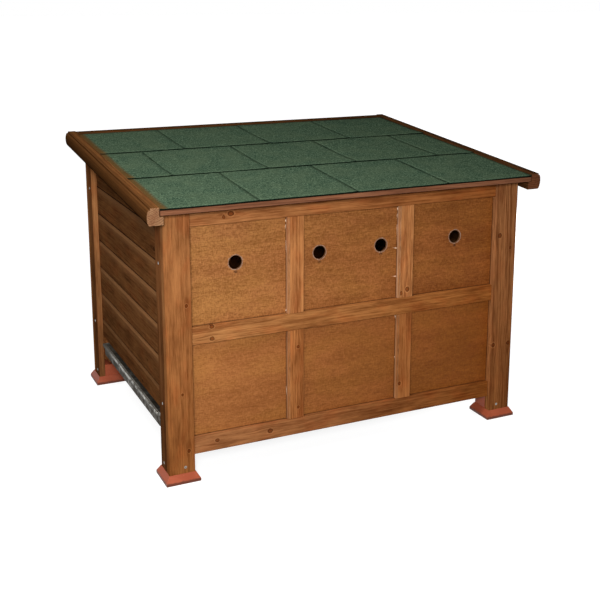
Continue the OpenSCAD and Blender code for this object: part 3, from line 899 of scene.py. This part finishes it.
def felt_tab(left, right, foot, head, foot_h, head_h, chance):
    """One tab: a thin wavy sheet, raised at its foot where it lies on the course below."""
    columns = max(2, round((right - left) / CELL))
    rows = max(2, round((head - foot) / CELL))
    curl = [chance.uniform(0.0002, 0.0014) for _ in range(2)]
    sag = chance.uniform(-0.0006, 0.0006)
    slant = chance.uniform(-0.0009, 0.0009)
    wave = chance.uniform(0, math.tau)
    rounding = 0.004
    work = bmesh.new()
    grid = []
    for row in range(rows + 1):
        up = row / rows
        line = []
        for column in range(columns + 1):
            side = column / columns
            s = foot + 0.001 + (head - foot - 0.001) * up + slant * (side - 0.5) * (1 - up)
            x = left + (right - left) * side
            if row == 0:
                near = min(x - left, right - x)
                s += rounding * max(0.0, 1 - near / rounding) * 0.6 + chance.uniform(-0.0003, 0.0003)
            lifted = foot_h + (head_h - foot_h) * min(1.0, max(0.0, s - foot) / 0.09)
            flap = max(0.0, 1 - up * 6) * (curl[0] * (1 - side) ** 3 + curl[1] * side ** 3)
            ripple = 0.0003 * math.sin(wave + 9 * up + 5 * side) + sag * side * (1 - side) * (1 - up)
            line.append(work.verts.new(on_slope(x, s, lifted + flap + ripple)))
        grid.append(line)
    skin(work, grid, closed=False)
    return work


for course in ("lower", "middle", "upper"):
    node = f"felt_course_{course}"
    chance = random.Random(node)
    points = [v.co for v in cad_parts[node].data.vertices]
    places = [slope_place(p) for p in points]
    foot, head = min(s for s, h in places), max(s for s, h in places)
    foot_h = max(h for s, h in places)
    head_h = max(h for s, h in places if s > head - 0.001)
    breaks = sorted({round(p.x, 4) for p in points})
    over = (CAD_SLIT - SLIT) / 2
    tabs = [felt_tab(max(left - over, breaks[0]), min(right + over, breaks[-1]), foot, head,
                     foot_h, head_h, chance) for left, right in zip(breaks[::2], breaks[1::2])]
    sheet = finish(gathered(tabs), node + "_tabs", [felt, bitumen], "green_felt", node)
    thick = thickened(sheet, FELT_T)
    thick.material_offset = thick.material_offset_rim = 1
    if course == "lower":
        deck_top = min(h for s, h in places)
        underlay_foot = foot + 0.002

# The underlay reaches from the lower course's foot to the head of the upper one, made last.
half = breaks[-1]
corners = ((-half, underlay_foot), (half, underlay_foot), (half, head), (-half, head))
work = bmesh.new()
sides = [[work.verts.new(on_slope(x, s, h)) for x, s in corners] for h in (deck_top, deck_top + 0.0007)]
skin(work, sides)
for side in sides:
    work.faces.new(side)
finish(work, "felt_underlay", [bitumen], "green_felt", smooth=False)


# ---- Edge moulding ----
# A planed softwood nosing along both ends and the back of the roof: a rounded edge with a
# groove above it and a flat top, rebated over the deck and the felt. The front ends are
# sawn square, so their end grain shows, bare and dusty.

moulding = timber_material("moulding_timber", paint(134, 81, 41), paint(82, 48, 24), paint(62, 34, 18))
tree = moulding.node_tree
# The rounded outer side is painted darker: painted shade where it faces down and away from the lamps.
from_middle = maths("ABSOLUTE", axes(spot(tree))[0])
verge_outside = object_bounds()[1][0]
outer_side_painted_shade = ramp(from_middle, verge_outside - 0.024, verge_outside - 0.004, 0.0, 0.65)
toned_over(moulding, outer_side_painted_shade, paint(84, 48, 21))
end_grain = timber_material("moulding_end_grain", paint(190, 135, 92), paint(122, 76, 50), paint(80, 50, 34),
                            ring_width=0.004)
stained_end = timber_material("moulding_end_stained", paint(176, 102, 62), paint(120, 68, 42),
                              paint(80, 50, 34))


def nosing(node, start, along, label, ends, **board):
    """A moulding over its CAD node, with its sawn ends in their own look and its underside painted dark as
    painted shade.
    """
    work = rounded(node, 0.0006, 1)[0]
    mark_board(work, start, along, OFF_SLOPE, label, **board)
    for face in work.faces:
        sawn = abs(face.normal.dot(along)) > 0.9
        face.material_index = 1 if sawn else 2 if face.normal.dot(OFF_SLOPE) < -0.3 else 0
    finish(work, node + "_moulding", [moulding, ends, painted_shade_timber], "stained_roof_timber", node)


for end in ENDS:
    low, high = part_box(f"verge_{end}")
    sawn_end, tone = (end_grain, (0.66, 0.76, 0.84)) if end == "left" else (stained_end, (0.36, 0.42, 0.5))
    nosing(f"verge_{end}", Vector(((low.x + high.x) / 2, eave.y, eave.z)), UP_SLOPE, f"verge {end}", sawn_end,
           knots=[(0.47, 0.012, 0.004)], tone=tone, figure=(0.5, 0.5, 0.4))
low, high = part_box("roof_back_trim")
nosing("roof_back_trim", Vector((low.x, high.y - 0.02, high.z - 0.02)), RIGHTWARDS, "back trim", stained_end,
       knots=[(0.3, 0.0, 0.005), (0.81, 0.01, 0.004)], tone=(0.3, 0.33, 0.36), figure=(0.3, 0.6, 0.5))


# ---- Screws ----
# Bright zinc-plated screws with cross recesses hold the corner boards and stiles to each
# other and to the feet. Their domed heads stand just proud of the wood.

zinc_plate, tree, shader = new_material("zinc_plated_screw", roughness=0.35, metallic=1.0, gloss=0.5)
plate = mixed(noise(spot(tree), 900), paint(176, 174, 168), paint(112, 108, 100))
feed(shader, {"Base Color": plate, "Roughness": ramp(noise(spot(tree), 700), 0.3, 0.7, 0.25, 0.5)})

HEAD_RADIUS = 0.0036


def screw_head(centre, face, turn):
    """A domed head with a cross sunk in it, turned as the driver left it."""
    work = bmesh.new()
    arm, half = 0.0021, 0.0005
    cross = [(arm, -half), (arm, half), (half, half), (half, arm), (-half, arm), (-half, half), (-arm, half),
             (-arm, -half), (-half, -half), (-half, -arm), (half, -arm), (half, -half)]
    disc = circle(0, 0, HEAD_RADIUS, 24)
    rim, lips, floor, foot = (
        [work.verts.new((x * size, y * size, z)) for x, y in outline]
        for outline, size, z in ((disc, 1, 0), (cross, 1, 0.0005), (cross, 0.7, -0.001), (disc, 1, -0.0008)))
    filled(work, [rim, lips])
    skin(work, [lips, floor])
    skin(work, [rim, foot])
    work.faces.new(floor)
    facing = face.to_track_quat("Z", "X").to_matrix().to_4x4()
    placed = Matrix.Translation(centre + face * 0.0004) @ facing @ Matrix.Rotation(turn, 4, "Z")
    bmesh.ops.transform(work, matrix=placed, verts=work.verts)
    return work


# One goes into the foot through each corner board, 41 mm from the corner. Three hold each
# stile: at its foot, above the tray and under the roof.
STILE_SCREWS = {"front": (0.039, 0.196, 0.549), "back": (0.039, 0.196, 0.608)}
chance = random.Random("screws")
heads = []
for wall in WALLS:
    for end in ENDS:
        board = f"corner_board_{wall}_{end}"
        x = faces_of(board, end)[0] - FACE[end].x * 0.041
        place = Vector((x, faces_of(board, wall)[0], 0.038))
        heads.append(screw_head(place, FACE[wall], chance.uniform(0, 1.5)))
        stile = f"side_stile_{wall}_{end}"
        outer_x = faces_of(stile, end)[0]
        middle_y = sum(corner.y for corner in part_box(stile)) / 2
        for z in STILE_SCREWS[wall]:
            place = Vector((outer_x, middle_y + chance.uniform(-0.003, 0.003), z))
            heads.append(screw_head(place, FACE[end], chance.uniform(0, 1.5)))
finish(gathered(heads), "screw_heads", [zinc_plate], "galvanised_sheet", smooth=False)


# ---- Splinters ----
# Where the muntins were sawn and glued on, their left edges are furred with pale splinters,
# short ones and long thin ones, that stand a little off the plywood beside them.

splinter_wood, tree, shader = new_material("raw_splinter", roughness=0.8, gloss=0.1)
raw = mixed(noise(spot(tree), 500), paint(238, 214, 188), paint(196, 158, 124))
feed(shader, {"Base Color": raw})
bump(shader, noise(spot(tree), 1200), 0.0003)


def splinter(root, lean, length, width, outwards):
    """A sliver that stands a little off the plywood, thick at its root and pointed."""
    work = bmesh.new()
    lean_way = Vector((math.sin(lean), 0, math.cos(lean)))
    side = Vector((math.cos(lean), 0, -math.sin(lean)))
    steps = 5
    rings = []
    for step in range(steps):
        share = step / steps
        swell = width * (1 - share) * (0.7 + 0.5 * math.sin(share * 7))
        middle = root + lean_way * length * share + Vector((0, outwards * 0.0006 * share, 0))
        rings.append([work.verts.new(middle + side * swell * a + Vector((0, outwards * swell * b, 0)))
                      for a, b in ((-0.5, 0), (0, 0.5), (0.5, 0), (0, -0.2))])
    tip = work.verts.new(root + lean_way * length + Vector((0, outwards * 0.0009, 0)))
    skin(work, rings)
    for step in range(4):
        work.faces.new((rings[-1][step - 1], rings[-1][step], tip))
    work.faces.new(rings[0][::-1])
    return work


# Each is (how far below the muntin's top, lean in radians, length, width).
flecks = {
    "muntin_upper_left": [(0.008, 3.0, 0.012, 0.0034), (0.02, 3.3, 0.02, 0.0014), (0.242, 0.2, 0.010, 0.003),
                          (0.06, 3.1, 0.16, 0.0009)],
    "muntin_upper_right": [(0.006, 3.0, 0.014, 0.0036), (0.022, 3.2, 0.022, 0.0016),
                           (0.114, 4.9, 0.013, 0.0036), (0.19, 4.8, 0.014, 0.0034),
                           (0.05, 3.15, 0.05, 0.0012)],
    "muntin_lower_right": [(0.006, 3.1, 0.010, 0.0026), (0.12, 3.1, 0.006, 0.0018)],
    "muntin_lower_left": [(0.15, 3.1, 0.05, 0.0009)],
}
for wall in WALLS:
    slivers = []
    for batten, places in flecks.items():
        low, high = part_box(f"{wall}_{batten}")
        face_y = faces_of(f"{wall}_panel_{batten.split('_')[1]}", wall)[0]
        for down, *shape in places:
            root = Vector((low.x - 0.0006, face_y, high.z - down))
            slivers.append(splinter(root, *shape, FACE[wall].y))
    finish(gathered(slivers), f"{wall}_splinters", [splinter_wood], "stained_timber", smooth=False)


# ---- Studio ----
# A pale floor in an even white surround, one soft lamp in front and to the left, one over
# the roof's near corner, and one behind for the other two sides.

def seen_directly(tree):
    """1 where the camera sees a surface, straight or in a gloss or through glass, or else 0."""
    rays = add("LightPath", {}, tree).outputs
    by_way = maths("MAXIMUM", rays["Is Glossy Ray"], rays["Is Transmission Ray"])
    return maths("MAXIMUM", rays["Is Camera Ray"], by_way)


floor_paint, tree, shader = new_material("pale_floor", roughness=0.9, gloss=0.5)
feed(shader, {"Base Color": (0.25, 0.25, 0.25, 1)})
far_off = ramp(length_of(spot(tree)), 1.2, 3.5, 0.86, 1.0)
glow = add("Emission", {"Strength": far_off})
both = add("AddShader", {0: shader.outputs[0], 1: glow.outputs[0]})
shown = add("MixShader", {0: seen_directly(tree), 1: shader.outputs[0], 2: both.outputs[0]})
feed(tree.nodes["Material Output"], {"Surface": shown.outputs[0]})
work = bmesh.new()
bmesh.ops.create_grid(work, x_segments=1, y_segments=1, size=60)
mesh = bpy.data.meshes.new("floor")
work.to_mesh(mesh)
work.free()
mesh.materials.append(floor_paint)
stand("floor", mesh)

world = bpy.data.worlds.new("surround")
bpy.context.scene.world = world
world.use_nodes = True
tree = world.node_tree
feed(tree.nodes["Background"], {"Color": (1, 1, 1, 1), "Strength": ramp(seen_directly(tree), 0, 1, 0.1, 1.0)})


def soft_lamp(name, position, aim, size, watts):
    lamp = bpy.data.lights.new(name, "AREA")
    lamp.size = size
    lamp.energy = watts
    thing = stand(name, lamp)
    thing.location = position
    thing.rotation_euler = (Vector(aim) - Vector(position)).to_track_quat("-Z", "Y").to_euler()
    thing.visible_camera = False


soft_lamp("front_lamp", (-1.2, -2.35, 1.32), (-0.1, -0.2, 0.6), 0.45, 60)
soft_lamp("roof_lamp", (-0.75, -0.7, 1.95), (0.0, -0.05, 0.7), 1.0, 30)
soft_lamp("back_lamp", (1.9, 2.2, 0.66), (0.1, 0.1, 0.4), 1.0, 80)

camera = stand("camera", bpy.data.cameras.new("camera"))
camera.location = (-1.1386, -2.5311, 1.1597)
heading, tip = math.radians(24.78), math.radians(12.13)
camera.rotation_euler = (math.pi / 2 - tip, 0, -heading)
camera.data.sensor_width = 36
camera.data.lens = 59.226
camera.data.shift_y = -0.15
bpy.context.scene.camera = camera
bpy.context.scene.view_settings.view_transform = "Standard"
